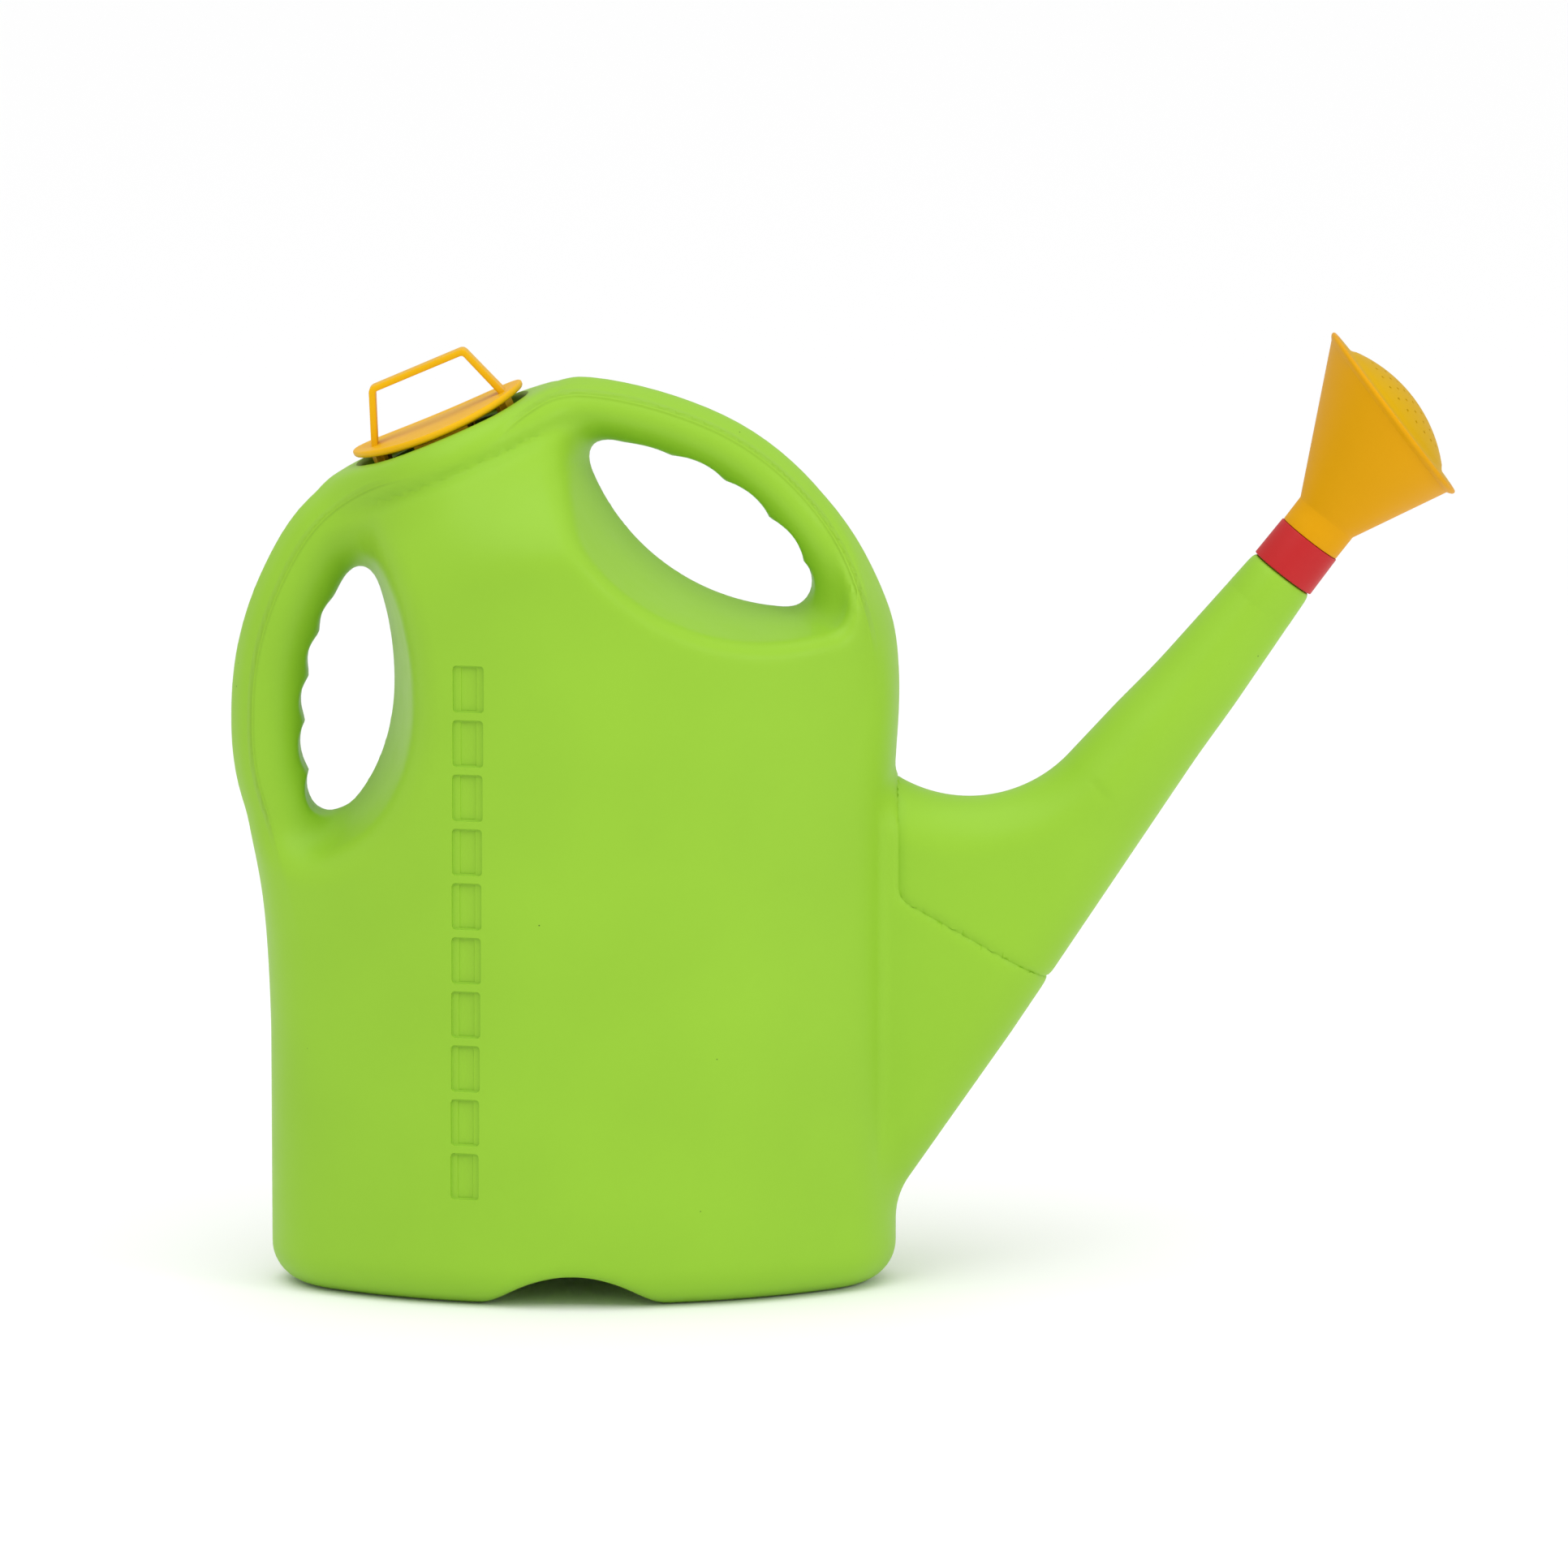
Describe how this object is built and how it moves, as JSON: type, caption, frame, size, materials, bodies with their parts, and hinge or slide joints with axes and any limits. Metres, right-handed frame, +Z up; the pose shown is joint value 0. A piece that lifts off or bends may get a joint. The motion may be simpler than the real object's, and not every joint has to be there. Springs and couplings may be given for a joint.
{
  "type": "watering can",
  "caption": "Plastic garden watering can with a flat oval tank, two moulded hand grips, a lift-off filler cap, a long tapered spout and a swivelling pull-off rose.",
  "frame": {"origin": "on the floor, at the middle of the overall length and depth", "axes": "+X towards the spout and rose, +Y to the left side when looking along +X, +Z up; the can's middle plane is the XZ plane"},
  "size_m": [0.5402, 0.16, 0.4236],
  "materials": {
    "green_plastic": "semi-matt blow-moulded polyethylene",
    "red_plastic": "satin injection-moulded plastic",
    "amber_plastic": "satin injection-moulded plastic",
    "yellow_plastic": "satin injection-moulded plastic",
    "washer_rubber": "matt rubber"
  },
  "bodies": {
    "can": {"tank": "green_plastic", "rear_grip": "green_plastic", "front_grip": "green_plastic", "spout": "green_plastic"},
    "collar": {"collar": "red_plastic", "sealing_washer": "washer_rubber"},
    "rose": {"rose_funnel": "amber_plastic", "rose_face": "yellow_plastic"},
    "cap": {"filler_cap": "amber_plastic"}
  },
  "joints": [
    {"name": "cap_lift", "type": "slide", "parent": "can", "child": "cap", "axis": [-0.3875, 0, 0.9219], "range_m": [0, 0.06]},
    {"name": "collar_turn", "type": "hinge", "parent": "can", "child": "collar", "pos_m": [0.1944, 0, 0.31705], "axis": [0.6115, 0, 0.7912], "continuous": true},
    {"name": "rose_pull", "type": "slide", "parent": "collar", "child": "rose", "axis": [0.6115, 0, 0.7912], "range_m": [0, 0.04]}
  ]
}
